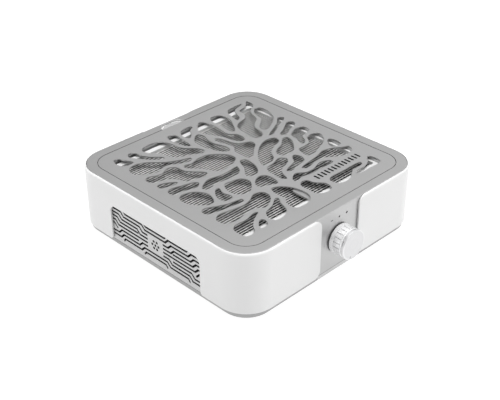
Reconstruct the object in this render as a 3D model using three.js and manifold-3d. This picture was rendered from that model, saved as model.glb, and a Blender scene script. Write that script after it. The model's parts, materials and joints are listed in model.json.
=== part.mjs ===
// Table-top nail dust collector: a square low box with a lift-off cut-out lid over a filter
// cartridge, a radial fan below it, side exhaust grilles, two wrap-round outer shells and a
// speed knob on the front wall.
//
// Millimetres, +Z up. Front (knob) is -Y, left is -X. z = 0 is the table under the feet.
// All pieces share one group whose origin is the centre of the square body; that group is
// shifted so that the exported origin is the middle of the whole footprint, knob included.

import * as THREE from 'three';
import { mergeVertices } from 'three/addons/utils/BufferGeometryUtils.js';
import Module from 'manifold-3d';

const wasm = await Module();
wasm.setup();

// ---------------------------------------------------------------- driving dimensions

const GAP = 0.3;                  // running and assembly gap between separate pieces
const BODY_HALF = 130;            // half of the square body's width over the outer shells
const CORNER_RADIUS = 33.7;       // plan radius of the outer shells
const DECK_TOP = 76;              // height of the deck and the lid's upper face
const SHELL_THICKNESS = 1.8;
const SHELL_BOTTOM = 8;
const SHELL_ROUNDING = 3;         // height of the rounded upper rim
const SHELL_GAP_HALF = 28;        // half width of the front and rear gaps between the shells
const SHELL_GAP_RADIUS = 9;
const WINDOW_HALF = 67.5;         // exhaust window in each shell, open at the bottom
const WINDOW_TOP = 51;
const WINDOW_RADIUS = 8;
const WINDOW_FLARE = 4.5;         // outward curve of the window's sides at the bottom
const SHEET = 1.6;                // sheet thickness of the housing
const HOUSING_HALF = BODY_HALF - SHELL_THICKNESS - GAP;
const HOUSING_RADIUS = CORNER_RADIUS - SHELL_THICKNESS - GAP;
const HOUSING_INNER = HOUSING_HALF - SHEET;
const PAN_HALF = 127;             // base pan, set in a little under the shells
const PAN_RADIUS = 27.6;
const PAN_NECK_RADIUS = 29.5;     // the corners step in where the shells overlap the pan
const PAN_TOP = 8.5;
const PAN_WALL = 2;
const PAN_ROUNDING = 1;
const HOUSING_BOTTOM = PAN_TOP + GAP;
const FOOT_HEIGHT = 2.1;
const FOOT_RADIUS = 8;
const FOOT_PLACE = 88;
const PAN_BOTTOM = FOOT_HEIGHT + GAP;
const PAN_FLOOR = PAN_BOTTOM + PAN_WALL;
const LID_HALF = 116.3;
const LID_RADIUS = 21.1;
const LID_THICKNESS = 1.5;
const LID_SEAM = 0.5;             // open seam between the lid and the deck
const LID_BOTTOM = DECK_TOP - LID_THICKNESS;
const NOTCH_HALF = 15.2;          // finger notch in the rear deck margin
const NOTCH_DEPTH = 8.5;
const NOTCH_CHAMFER = 0.8;
const CUP_FRONT = 104;            // front of the scoop under the notch
const NOTCH_REAR = LID_HALF + LID_SEAM + NOTCH_DEPTH;
const WELL_HALF = 100.5;          // filter well, inside
const WELL_WALL = 1.6;
const WELL_FLOOR = 52;            // shelf that carries the cartridge
const FLANGE_HALF = 120;
const FLANGE_TOP = LID_BOTTOM - 0.4;
const FLANGE_THICKNESS = 2.6;
const POST_PLACE = 108;           // corner posts and base screws
const POST_RADIUS = 4.5;
const CARTRIDGE_HALF_X = 100.2;
const CARTRIDGE_HALF_Y = 98;
const CARTRIDGE_TOP = DECK_TOP - 4.4;
const MEDIA_HALF_X = 97;
const MEDIA_HALF_Y = 92;
const MEDIA_TOP = 68.6;
const FAN_RADIUS = 84;
const FAN_BOTTOM = 12.5;
const FAN_TOP = 40.4;
const FAN_EYE = 62;
const KNOB_RADIUS = 16;
const KNOB_LENGTH = 20;           // from the front wall to the knob's face
const KNOB_HEIGHT = 41.5;         // height of the knob's axis
const KNOB_POINTER = THREE.MathUtils.degToRad(200);  // clockwise from the top, seen from the front
const SHAFT_RADIUS = 3;
const MARK_HEIGHT = 65.6;         // minus, dot and plus above the knob
const MARK_SPREAD = 11;
const SOCKET_HEIGHT = 30;         // power inlet on the rear wall
const VENT_ROW_TOP = 47.2;        // first row of exhaust slots
const VENT_PITCH = 4.46;
const VENT_SLOT = 2.2;
const VENT_HALF = 71;
const VENT_TOP = 54;
const CORNER_STEPS = 14;
const SMALL_STEPS = 6;
const ROUND_SIDES = 24;
const EPS = 0.5;                  // how far a cutting tool runs past the face that it opens

// ---------------------------------------------------------------- finishes

const finish = (color, roughness, metalness) => new THREE.MeshStandardMaterial({ color, roughness, metalness });
const FINISH = {
  greyPaint: finish(0xa9a9a9, 0.5, 0.15),
  whiteShell: finish(0xe8e8e8, 0.45, 0),
  whitePlastic: finish(0xf0f0f0, 0.5, 0),
  darkPlastic: finish(0x2b2b2d, 0.55, 0),
  rubber: finish(0x3a3a3a, 0.9, 0),
  filterPaper: finish(0x8c8c8c, 0.95, 0),
  mesh: finish(0xb9bbbd, 0.4, 0.8),
  aluminium: finish(0xd8d8d8, 0.3, 0.9),
  steel: finish(0x9c9ea0, 0.35, 0.9),
  board: finish(0x1f5b3a, 0.6, 0),
  copper: finish(0xa8623a, 0.4, 0.7),
  lens: finish(0x4a4c50, 0.2, 0),
};

// ---------------------------------------------------------------- shape helpers

const arc = (cx, cy, radius, from, to, steps) => {
  const points = [];
  for (let i = 0; i <= steps; i += 1) {
    const angle = from + (to - from) * i / steps;
    points.push(new THREE.Vector2(cx + radius * Math.cos(angle), cy + radius * Math.sin(angle)));
  }
  return points;
};

// Rounded rectangle from its four edges, counter-clockwise; radii start at the upper right corner.
const roundedBox = (left, right, low, high, radii, steps = SMALL_STEPS) => {
  const corners = [[right, high, -1, -1], [left, high, 1, -1], [left, low, 1, 1], [right, low, -1, 1]];
  return corners.flatMap(([x, y, sx, sy], i) => {
    const radius = Array.isArray(radii) ? radii[i] : radii;
    if (radius === 0) return [new THREE.Vector2(x, y)];
    const start = i * Math.PI / 2;
    return arc(x + sx * radius, y + sy * radius, radius, start, start + Math.PI / 2, steps);
  });
};

const roundedSquare = (halfX, halfY, radius, steps = CORNER_STEPS) =>
  roundedBox(-halfX, halfX, -halfY, halfY, radius, steps);

const circle = (radius, sides = ROUND_SIDES, cx = 0, cy = 0) => {
  const points = arc(cx, cy, radius, 0, 2 * Math.PI, sides);
  points.pop();
  return points;
};

// Closed smooth curve through a few points.
const smooth = (pairs) => {
  const knots = pairs.map(([x, y]) => new THREE.Vector3(x, y, 0));
  const curve = new THREE.CatmullRomCurve3(knots, true, 'centripetal');
  const points = curve.getPoints(knots.length * 2).map((p) => new THREE.Vector2(p.x, p.y));
  points.pop();
  return points;
};

// Outline of a slot that follows a line of points, with round ends.
const slotAlong = (line, width, steps = 4) => {
  const half = width / 2;
  const points = line.map(([x, y]) => new THREE.Vector2(x, y));
  const directions = points.slice(1).map((p, i) => p.clone().sub(points[i]).normalize());
  const last = points.length - 1;
  const side = (sign) => points.slice(1, last).map((p, i) => {
    const before = directions[i];
    const after = directions[i + 1];
    const normal = new THREE.Vector2(-before.y - after.y, before.x + after.x).normalize();
    const reach = half / normal.dot(new THREE.Vector2(-before.y, before.x));
    return p.clone().addScaledVector(normal, sign * reach);
  });
  const endAngle = directions[last - 1].angle();
  const startAngle = directions[0].angle();
  const quarter = Math.PI / 2;
  const endCap = arc(points[last].x, points[last].y, half, endAngle - quarter, endAngle + quarter, steps);
  const startCap = arc(points[0].x, points[0].y, half, startAngle + quarter, startAngle + 3 * quarter, steps);
  return [...side(-1), ...endCap, ...side(1).reverse(), ...startCap];
};

const prism = (outline, low, high, holes = []) => {
  const shape = new THREE.Shape(outline);
  shape.holes = holes.map((hole) => new THREE.Path(hole));
  const geometry = new THREE.ExtrudeGeometry(shape, { depth: high - low, bevelEnabled: false });
  return geometry.translate(0, 0, low);
};

const block = (x0, x1, y0, y1, z0, z1) => {
  const geometry = new THREE.BoxGeometry(x1 - x0, y1 - y0, z1 - z0);
  return geometry.translate((x0 + x1) / 2, (y0 + y1) / 2, (z0 + z1) / 2);
};

// Solid of revolution about Z from [radius, height] pairs.
const turned = (profile, sides = ROUND_SIDES) => {
  const points = profile.map(([r, z]) => new THREE.Vector2(r, z));
  return new THREE.LatheGeometry(points, sides).rotateX(Math.PI / 2);
};

const rod = (radius, low, high, x = 0, y = 0, sides = ROUND_SIDES) =>
  turned([[0, low], [radius, low], [radius, high], [0, high]], sides).translate(x, y, 0);

const tube = (inner, outer, low, high, sides = ROUND_SIDES) =>
  turned([[inner, low], [outer, low], [outer, high], [inner, high], [inner, low]], sides);

// Skin through equal rings of points: closed on itself, or capped at the first and last ring.
const loft = (rings, capped) => {
  const count = rings[0].length;
  const position = rings.flatMap((ring) => ring.flatMap((p) => [p.x, p.y, p.z]));
  const index = [];
  const spans = capped ? rings.length - 1 : rings.length;
  for (let r = 0; r < spans; r += 1) {
    const next = (r + 1) % rings.length;
    for (let i = 0; i < count; i += 1) {
      const j = (i + 1) % count;
      const [a, b, c, d] = [r * count + i, r * count + j, next * count + j, next * count + i];
      index.push(a, b, c, a, c, d);
    }
  }
  if (capped) {
    const top = (rings.length - 1) * count;
    const flat = rings[0].map((p) => new THREE.Vector2(p.x, p.y));
    THREE.ShapeUtils.triangulateShape(flat, []).forEach(([a, b, c]) => {
      index.push(a, c, b, top + a, top + b, top + c);
    });
  }
  const geometry = new THREE.BufferGeometry();
  geometry.setAttribute('position', new THREE.Float32BufferAttribute(position, 3));
  geometry.setIndex(index);
  return geometry;
};

const squareRing = (half, radius, inset, z) =>
  roundedSquare(half - inset, half - inset, radius - inset).map((p) => new THREE.Vector3(p.x, p.y, z));

// ---------------------------------------------------------------- boolean helpers

const solidOf = (shape) => {
  if (!(shape instanceof THREE.BufferGeometry)) return shape;
  const bare = new THREE.BufferGeometry();
  bare.setAttribute('position', shape.getAttribute('position').clone());
  if (shape.index) bare.setIndex(shape.index.clone());
  const merged = mergeVertices(bare, 1e-4);
  const mesh = new wasm.Mesh({
    numProp: 3,
    vertProperties: new Float32Array(merged.getAttribute('position').array),
    triVerts: new Uint32Array(merged.index.array),
  });
  return new wasm.Manifold(mesh);
};

const join = (...shapes) => shapes.map(solidOf).reduce((a, b) => a.add(b));
const cut = (shape, ...tools) => tools.map(solidOf).reduce((a, b) => a.subtract(b), solidOf(shape));
const keep = (shape, tool) => solidOf(shape).intersect(solidOf(tool));

const geometryOf = (shape) => {
  if (shape instanceof THREE.BufferGeometry) return shape;
  const mesh = shape.getMesh();
  const geometry = new THREE.BufferGeometry();
  geometry.setAttribute('position', new THREE.BufferAttribute(new Float32Array(mesh.vertProperties), 3));
  geometry.setIndex(new THREE.BufferAttribute(new Uint32Array(mesh.triVerts), 1));
  return geometry;
};

// ---------------------------------------------------------------- assembly helpers

const collector = new THREE.Group();
const body = new THREE.Group();
body.position.y = (KNOB_LENGTH + HOUSING_HALF - BODY_HALF) / 2;
collector.add(body);

const add = (name, shape, material, parent = body) => {
  const mesh = new THREE.Mesh(geometryOf(shape), material);
  mesh.name = name;
  parent.add(mesh);
  return mesh;
};

// A wall frame has x to the right along the wall, y up and z outwards, seen from outside.
const wallFrame = (turn) => {
  const frame = new THREE.Group();
  frame.rotation.set(Math.PI / 2, 0, turn, 'ZYX');
  body.add(frame);
  return frame;
};
const onWall = (geometry, turn) => {
  const turned90 = new THREE.Matrix4().makeRotationFromEuler(new THREE.Euler(Math.PI / 2, 0, turn, 'ZYX'));
  return geometry.clone().applyMatrix4(turned90);
};
const FRONT = 0;
const LEFT = -Math.PI / 2;
const RIGHT = Math.PI / 2;
const REAR = Math.PI;
const CORNERS = [[-1, -1], [1, -1], [1, 1], [-1, 1]];

// ---------------------------------------------------------------- lid

// Flowing cut-outs of the lid, each a closed smooth curve through hand-placed points.
const CUTOUTS = [
  [[-97, 100.2], [-92, 99.8], [-90, 94], [-86, 88], [-84.5, 83], [-91, 81.5], [-98, 84], [-100, 92]],
  [[-76, 100.7], [-71, 97], [-69.5, 88], [-65, 79], [-56, 69.5], [-56.5, 65.8], [-64, 70], [-73, 80],
    [-78, 87.5], [-81.3, 95]],
  [[-55, 100.8], [-42, 100.8], [-34.5, 95], [-30.5, 85], [-29.8, 74], [-25, 66], [-17.5, 57.5],
    [-15, 49.5], [-20, 46.3], [-31, 52.3], [-45, 58], [-50.7, 67], [-53, 77], [-61, 87], [-62.3, 96]],
  [[-19.5, 100.8], [-15, 98], [-14.2, 91], [-16, 79], [-17.8, 68], [-20, 67.5], [-24.3, 75], [-26, 90],
    [-24, 99]],
  [[-1, 100.4], [10.5, 100.8], [11.5, 97.8], [4.5, 93.8], [0.5, 87.5], [-7, 80.5], [-10.3, 83], [-9.5, 91.5],
    [-6, 97.5]],
  [[-99.3, 71], [-92, 77], [-83, 77], [-74, 72], [-62, 60.5], [-48, 52.2], [-36.5, 47.5], [-39, 43.2],
    [-50, 45.2], [-62, 52.3], [-70, 52.8], [-79, 49.5], [-90, 53.8], [-99.5, 61.5]],
  [[-99.5, 44.5], [-94, 48.4], [-86, 45], [-78, 44], [-67, 48], [-60.3, 43], [-58.8, 31.5], [-50, 20.5],
    [-45, 13], [-50, 8.7], [-62, 12], [-71.5, 14.5], [-74.5, 23], [-80.5, 30], [-90, 34], [-98.3, 37]],
  [[-99.5, 26.8], [-95.5, 29], [-86, 25.2], [-79.3, 19.5], [-83, 17.8], [-93, 20.3], [-99, 22.3]],
  [[-99, 10.5], [-94, 14.4], [-80, 11.4], [-67, 7.2], [-64.8, 3.5], [-70, -1], [-78, -0.2], [-88, 3],
    [-98.3, 3.8]],
  [[-54.2, 36.5], [-51.5, 40], [-44, 37.8], [-33.5, 40.6], [-21, 40.3], [-10, 32.5], [-3, 22.5], [-3, 14],
    [-14, 7.2], [-31, 5.3], [-37.5, 9.5], [-42.5, 20.5], [-51.5, 31]],
  [[-69.7, -7.5], [-61, -1.2], [-53, 1.6], [-38, -1.3], [-24, -0.9], [-14.6, -0.2], [-19, -8.5], [-28, -12.8],
    [-43, -11.3], [-57, -10.3], [-66, -13.8]],
  [[-99.5, -7.5], [-93.5, -2.2], [-82.5, -4.3], [-75.8, -11], [-72.5, -20], [-78, -33], [-84, -35],
    [-92, -29.2], [-99, -19.5]],
  [[-60.5, -17.8], [-57.6, -19], [-60.8, -28], [-58.7, -38], [-62, -42], [-70.5, -39.5], [-71.5, -32],
    [-66.5, -23]],
  [[-53.8, -25.5], [-48, -17.2], [-38, -18], [-29.5, -20.5], [-25.6, -29.5], [-32.5, -39.5], [-41, -44.8],
    [-51.5, -41.8], [-54.8, -33]],
  [[-3.5, 5.9], [1.8, 4.6], [2.4, -4], [-1, -15.5], [-8.5, -24], [-17.5, -25], [-21, -19.5], [-12.5, -9.5],
    [-7.8, 0.5]],
  [[-27.6, -42], [-21.5, -34.2], [-12, -31], [-6, -35], [-5.4, -46], [-9, -53.2], [-18, -49.6],
    [-26.5, -46.5]],
  [[-99.4, -39], [-93.5, -36], [-84, -40.5], [-70, -46.5], [-56, -49.3], [-57, -53], [-72, -51.7],
    [-90, -48.6], [-99, -45.4]],
  [[-99.5, -60], [-92, -54], [-78, -56], [-62, -58.6], [-50, -55.7], [-41, -51.2], [-32, -55], [-31.5, -63.5],
    [-40, -72.4], [-51, -76], [-59, -70], [-72, -71], [-86, -73], [-97.5, -69.5]],
  [[-99.5, -83.5], [-93, -78.4], [-79, -78.9], [-66, -75.9], [-61.5, -77.3], [-72, -83], [-81.5, -90.5],
    [-88, -99], [-98.5, -99], [-100, -91]],
  [[-73, -90.2], [-68.5, -88.3], [-66.6, -92.5], [-70.5, -98.7], [-78.5, -99.2], [-78, -95.5]],
  [[-60.5, -89], [-54.5, -82.3], [-43.5, -79.2], [-32, -72], [-29.3, -73.5], [-34, -81], [-38.5, -93],
    [-47, -99], [-59.5, -99.3], [-61.3, -94]],
  [[-21, -56.3], [-15, -57.5], [-7, -65.7], [-2.6, -77], [-3, -90], [-11, -98.6], [-22, -99.7], [-30, -97.8],
    [-30.3, -86], [-25, -79], [-25, -66]],
  [[21.3, 99], [26.5, 100.5], [29.8, 94.5], [30.8, 83], [29.5, 70], [28.5, 58.5], [35, 50.2], [34.6, 38.5],
    [28.8, 34.8], [23, 41], [20.3, 54.5], [15, 66], [10.8, 75], [10, 87], [16, 93.5]],
  [[36, 91], [40, 99], [48, 100.9], [54.5, 95.5], [55, 84], [48.5, 71.5], [41, 60.2], [37, 57.8],
    [34.3, 63.5], [36.3, 76]],
  [[59.5, 81], [62.5, 92], [68, 99.2], [78, 101], [90.5, 100.5], [86, 97.6], [75, 94.8], [70, 88.5],
    [65, 77.3], [58.8, 74.6]],
  [[76.5, 88.8], [84, 91], [92, 94.2], [99.4, 100.6], [99.3, 91], [95.8, 86.3], [87.5, 81.7], [81.5, 74.5],
    [77, 62], [66, 54.2], [60, 46.5], [57.3, 33.5], [50, 27.7], [42.5, 30.5], [42.5, 47], [47, 62], [56, 68.5],
    [68, 71.5], [74.3, 79]],
  [[65, 45], [73, 51.5], [80, 57.5], [84, 71.5], [91.5, 79.6], [98.3, 79.3], [100, 70], [97, 57.5],
    [89, 47], [77, 39.8], [67, 34.8], [63, 39]],
  [[58.7, 24], [72, 31], [85, 37.7], [96, 46], [100.3, 42], [95, 37.2], [84, 33.5], [72, 26.5], [61.5, 22.5]],
  [[68.8, 17], [77, 21], [87, 27], [95.5, 31], [100.2, 26.5], [95.5, 20], [84, 17.4], [73, 11.3], [68.6, 12.5]],
  [[73.2, 2], [79, 9.4], [91, 13.6], [99.3, 10.5], [98.5, 1], [89, -1.7], [81, -5], [77.5, -12], [70.5, -15.3],
    [70.3, -8.5], [73.5, -3.5]],
  [[7, -14], [14, -3.5], [24, 6.8], [37, 15.3], [50, 18.5], [58.3, 15.3], [56, 7], [43, 2], [32.5, -4],
    [26, -14], [17, -18.9], [7, -18.7]],
  [[34, -12], [40, -5.2], [52, -0.7], [63, 8], [68.5, 7], [67, -2], [59.5, -11.5], [50, -19.2], [36.5, -18.4]],
  [[54.3, -30], [58.8, -20.5], [68, -20.2], [77, -18.3], [84, -9.3], [93, -7.1], [100.2, -12.5], [96.5, -21.2],
    [88, -28.7], [72, -34.7], [60, -39], [54.3, -36]],
  [[1.6, -30], [6.5, -24.2], [18, -22.2], [28.5, -19], [34.2, -25], [28.5, -31.7], [14.5, -36.8], [8, -45],
    [4.5, -53.7], [0.2, -50], [0.6, -38]],
  [[15.3, -43], [22, -39.7], [34.5, -35.5], [40, -28], [45.3, -25.8], [48, -32.5], [45, -40.5], [33, -43.4],
    [18.5, -46.3]],
  [[87, -39.5], [91.5, -32.3], [97.5, -28.3], [100.2, -32], [99.8, -43.5], [93, -45.2], [87, -42.3]],
  [[30.5, -50], [45, -46.7], [60, -44.5], [73, -41.2], [84, -44], [93, -50.1], [100.2, -53.5], [97.5, -61.3],
    [86, -64], [74, -59.5], [64, -52.4], [50, -51], [35, -53.8]],
  [[6, -61.5], [11, -55.7], [18.5, -53.1], [26, -58.8], [38, -59.8], [52, -55.8], [62.5, -59.6], [63, -64.3],
    [45, -64.7], [27, -64.4], [17, -62], [7.5, -64.2]],
  [[4, -73.5], [10.5, -68.7], [15.7, -71], [18, -79], [24.8, -87.5], [23, -97], [13, -99.7], [4, -94.5],
    [3.5, -84]],
  [[32.2, -87.5], [38, -83.6], [55, -83.9], [72, -83.8], [82.4, -85], [80, -89.3], [65, -89.8], [56, -95.3],
    [46, -99.7], [34.5, -97]],
  [[0, 79.6], [4.5, 80.3], [6.5, 73], [3, 61.5], [3, 52], [7, 38], [4.5, 30.2], [-2, 32], [-8, 43.5],
    [-11.4, 60], [-9.5, 70], [-4.5, 76]],
  [[10.3, 60], [7.7, 55], [10.3, 45], [12.4, 31.5], [7, 25.5], [5.5, 18.5], [7.2, 5], [11, 2.7], [23, 13],
    [33, 20.8], [33.5, 28], [22, 33.6], [17.3, 43], [14.5, 56]],
  [[62.3, -97.3], [67, -94.3], [79, -93.8], [90, -89.5], [97.5, -83], [100.2, -87], [99, -98.8], [82, -99.7],
    [65, -99.3]],
];

// Plain row of small upright slots beside the front right cut-out.
const SLOT_ROW = { from: 27, to: 91, count: 13, low: -77, high: -71, width: 1.9 };

function lid() {
  const slots = [];
  for (let i = 0; i < SLOT_ROW.count; i += 1) {
    const x = SLOT_ROW.from + (SLOT_ROW.to - SLOT_ROW.from) * i / (SLOT_ROW.count - 1);
    slots.push(slotAlong([[x, SLOT_ROW.low], [x, SLOT_ROW.high]], SLOT_ROW.width, 3));
  }
  const outline = roundedSquare(LID_HALF, LID_HALF, LID_RADIUS);
  add('grille_lid', prism(outline, LID_BOTTOM, DECK_TOP, [...CUTOUTS.map(smooth), ...slots]), FINISH.greyPaint);
}

// ---------------------------------------------------------------- housing and shells

const notchOutline = (grow, front) =>
  roundedBox(-NOTCH_HALF - grow, NOTCH_HALF + grow, front, NOTCH_REAR + grow,
    [NOTCH_DEPTH, NOTCH_DEPTH, 0, 0]);

function housing() {
  const ring = (inset, z) => squareRing(HOUSING_HALF, HOUSING_RADIUS, inset, z);
  const outside = loft([ring(0, HOUSING_BOTTOM), ring(0, DECK_TOP - 0.8), ring(0.25, DECK_TOP - 0.25),
    ring(0.8, DECK_TOP)], true);
  const inside = prism(roundedSquare(HOUSING_INNER, HOUSING_INNER, HOUSING_RADIUS - SHEET),
    HOUSING_BOTTOM - EPS, DECK_TOP - SHEET);
  const opening = LID_HALF + LID_SEAM;
  const openingOutline = roundedSquare(opening, opening, LID_RADIUS + LID_SEAM);
  const lidOpening = prism(openingOutline, DECK_TOP - 5, DECK_TOP + EPS);
  const notch = prism(notchOutline(0, opening - 1), DECK_TOP - 5, DECK_TOP + EPS);
  const notchRing = (grow, z) => notchOutline(grow, opening - 1).map((p) => new THREE.Vector3(p.x, p.y, z));
  const chamferFoot = notchRing(0, DECK_TOP - NOTCH_CHAMFER);
  const chamfer = loft([chamferFoot, notchRing(NOTCH_CHAMFER + 0.1, DECK_TOP + 0.1)], true);
  const ventHole = prism(roundedBox(-VENT_HALF - GAP, VENT_HALF + GAP, HOUSING_BOTTOM - EPS, VENT_TOP + GAP, 0),
    HOUSING_INNER - EPS, HOUSING_HALF + EPS);
  const through = (outline) => prism(outline, HOUSING_INNER - EPS, HOUSING_HALF + EPS);
  const socketHole = through(roundedBox(-13.3, 13.3, SOCKET_HEIGHT - 7.8, SOCKET_HEIGHT + 7.8, 2, 3));
  const screwHoles = [-18, 18].map((x) => through(circle(1.7, 12, x, SOCKET_HEIGHT)));
  const shaftHole = through(circle(3.9, 20, 0, KNOB_HEIGHT));
  const lensHole = through(circle(1.2, 12, 0, MARK_HEIGHT));
  const engraved = (x0, x1, y0, y1) => block(x0, x1, y0, y1, HOUSING_HALF - 0.6, HOUSING_HALF + EPS);
  const bar = 1.5;
  const stroke = 0.5;
  const minus = engraved(-MARK_SPREAD - bar, -MARK_SPREAD + bar, MARK_HEIGHT - stroke, MARK_HEIGHT + stroke);
  const plus = join(
    engraved(MARK_SPREAD - bar, MARK_SPREAD + bar, MARK_HEIGHT - stroke, MARK_HEIGHT + stroke),
    engraved(MARK_SPREAD - stroke, MARK_SPREAD + stroke, MARK_HEIGHT - bar, MARK_HEIGHT + bar));
  const wallCuts = [
    onWall(ventHole, LEFT), onWall(ventHole, RIGHT),
    onWall(socketHole, REAR), ...screwHoles.map((hole) => onWall(hole, REAR)),
    onWall(shaftHole, FRONT), onWall(lensHole, FRONT), onWall(minus, FRONT), onWall(geometryOf(plus), FRONT),
  ];
  add('housing', cut(outside, inside, lidOpening, notch, chamfer, ...wallCuts), FINISH.greyPaint);
}

function shells() {
  const ring = (inset, z) => squareRing(BODY_HALF, CORNER_RADIUS, inset, z);
  const rim = [];
  const rimSteps = 5;
  for (let i = 0; i <= rimSteps; i += 1) {
    const angle = Math.PI / 2 * i / rimSteps;
    rim.push(ring(SHELL_THICKNESS * (1 - Math.cos(angle)), DECK_TOP - SHELL_ROUNDING * (1 - Math.sin(angle))));
  }
  const band = loft([ring(SHELL_THICKNESS, SHELL_BOTTOM), ring(0.5, SHELL_BOTTOM), ring(0, SHELL_BOTTOM + 0.5),
    ...rim], false);
  const far = BODY_HALF + 10;
  const flare = (sign) => {
    const from = sign < 0 ? 0 : -Math.PI / 2;
    const centre = sign * (WINDOW_HALF + WINDOW_FLARE);
    const turn = arc(centre, SHELL_BOTTOM + WINDOW_FLARE, WINDOW_FLARE, from, from - Math.PI / 2, SMALL_STEPS);
    const below = new THREE.Vector2(centre, SHELL_BOTTOM - EPS);
    return sign < 0 ? [...turn, below] : [below, ...turn];
  };
  const windowTool = (turn) => {
    const straight = roundedBox(-WINDOW_HALF, WINDOW_HALF, 0, WINDOW_TOP, WINDOW_RADIUS);
    const topArcs = straight.slice(0, 2 * (SMALL_STEPS + 1));
    return onWall(prism([...topArcs, ...flare(-1), ...flare(1)], BODY_HALF - 10, far), turn);
  };
  const side = (name, sign, turn) => {
    const near = -SHELL_GAP_HALF;
    const half = roundedBox(-far, near, SHELL_BOTTOM, DECK_TOP, [SHELL_GAP_RADIUS, 0, 0, SHELL_GAP_RADIUS]);
    const mirrored = sign < 0 ? half : half.map((p) => new THREE.Vector2(-p.x, p.y)).reverse();
    const slab = onWall(prism(mirrored, -far, far), FRONT);
    add(name, cut(keep(band, slab), windowTool(turn)), FINISH.whiteShell);
  };
  side('shell_left', -1, LEFT);
  side('shell_right', 1, RIGHT);
}

function fingerCup() {
  const side = NOTCH_HALF + SHEET;
  const outer = roundedBox(-side, side, CUP_FRONT, HOUSING_INNER - GAP, [9, 9, 2, 2]);
  const scoop = new THREE.SphereGeometry(1, 32, 20).scale(15, 11.2, 9).translate(0, 114, DECK_TOP);
  add('finger_cup', cut(prism(outer, 65, FLANGE_TOP), scoop), FINISH.whitePlastic);
}

// ---------------------------------------------------------------- exhaust grilles

const row = (k) => VENT_ROW_TOP - VENT_PITCH * k;

// Slots of one half of a grille as [x, row] runs; a row change is a slanted step.
const VENT_RUNS = [
  [[-68, 0], [-53.5, 0], [-49, 1], [-24, 1], [-19.5, 2], [-12.5, 2]],
  [[-68, 1], [-57, 1], [-52.5, 2], [-28, 2], [-23.5, 3], [-12.5, 3]],
  [[-68, 2], [-60, 2], [-55.5, 3], [-27, 3]],
  [[-68, 3], [-63, 3], [-58.5, 4], [-12.5, 4]],
  [[-68, 4], [-65, 4], [-60.5, 5]],
  [[-68, 6], [-58, 6], [-53.5, 5], [-27, 5]],
  [[-68, 7], [-55, 7], [-50.5, 6], [-25, 6], [-20.5, 5], [-12.5, 5]],
];

// Slots that cross the middle of a grille, given by their left half.
const VENT_SPANS = [
  [[-49.6, -0.75], [-46.5, 0], [-20, 0], [-15.5, 1]],
  [[-17.4, -0.75], [-14.2, 0]],
  [[-50.5, 7.6], [-48.5, 7], [-22, 7], [-17.5, 6]],
  [[-17.4, 7.6], [-15.2, 7]],
];

function vents() {
  const toPoints = (run) => run.map(([x, k]) => [x, row(k)]);
  const mirror = (run) => run.map(([x, k]) => [-x, k]).reverse();
  const runs = [
    ...VENT_RUNS,
    ...VENT_RUNS.map(mirror),
    ...VENT_SPANS.map((run) => [...run, ...mirror(run)]),
  ];
  const slots = runs.map((run) =>
    prism(slotAlong(toPoints(run), VENT_SLOT), HOUSING_INNER - 5, HOUSING_HALF + EPS));
  const dots = [];
  for (let i = 0; i < 7; i += 1) {
    const angle = Math.PI / 3 * i;
    const reach = i === 6 ? 0 : 4.6;
    const place = [reach * Math.cos(angle), row(3.5) + reach * Math.sin(angle)];
    dots.push(prism(circle(1.6, 12, ...place), HOUSING_INNER - 5, HOUSING_HALF + EPS));
  }
  const plate = prism(roundedBox(-VENT_HALF, VENT_HALF, HOUSING_BOTTOM, VENT_TOP, 0),
    HOUSING_INNER - 1.5, HOUSING_HALF);
  const flange = prism(roundedBox(-VENT_HALF - 5, VENT_HALF + 5, HOUSING_BOTTOM, VENT_TOP + 4, 0),
    HOUSING_INNER - 1.5, HOUSING_INNER - GAP);
  const pocket = prism(roundedBox(-VENT_HALF + 1.2, VENT_HALF - 1.2, HOUSING_BOTTOM + 1.2, VENT_TOP - 1.2, 0),
    HOUSING_INNER - 5, HOUSING_HALF - 1.2);
  const grille = cut(join(plate, flange), pocket, ...slots, ...dots);
  add('vent_grille_left', grille, FINISH.greyPaint, wallFrame(LEFT));
  add('vent_grille_right', grille, FINISH.greyPaint, wallFrame(RIGHT));
}

// ---------------------------------------------------------------- base

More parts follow.
